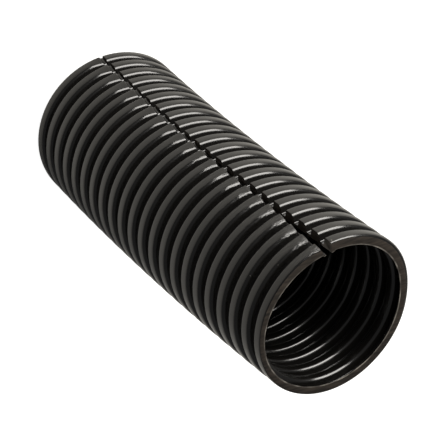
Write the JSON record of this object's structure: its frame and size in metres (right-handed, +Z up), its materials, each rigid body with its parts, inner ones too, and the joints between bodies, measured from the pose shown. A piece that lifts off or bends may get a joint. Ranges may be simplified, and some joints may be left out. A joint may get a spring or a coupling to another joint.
{
  "type": "split corrugated conduit",
  "caption": "Short length of black corrugated loom tubing, slit from end to end so that cables can be laid in from the side.",
  "frame": {"origin": "on the floor, under the middle of the tube's bounding box", "axes": "+Z up the tube, towards the end whose slit has sprung open; +Y towards the side with the slit; +X towards the centre of the tube's gentle bend"},
  "size_m": [0.0348, 0.03, 0.08],
  "materials": {
    "skin": "black polyolefin with the soft gloss of a moulded skin"
  },
  "bodies": {
    "root": {"conduit": "skin"}
  },
  "joints": []
}
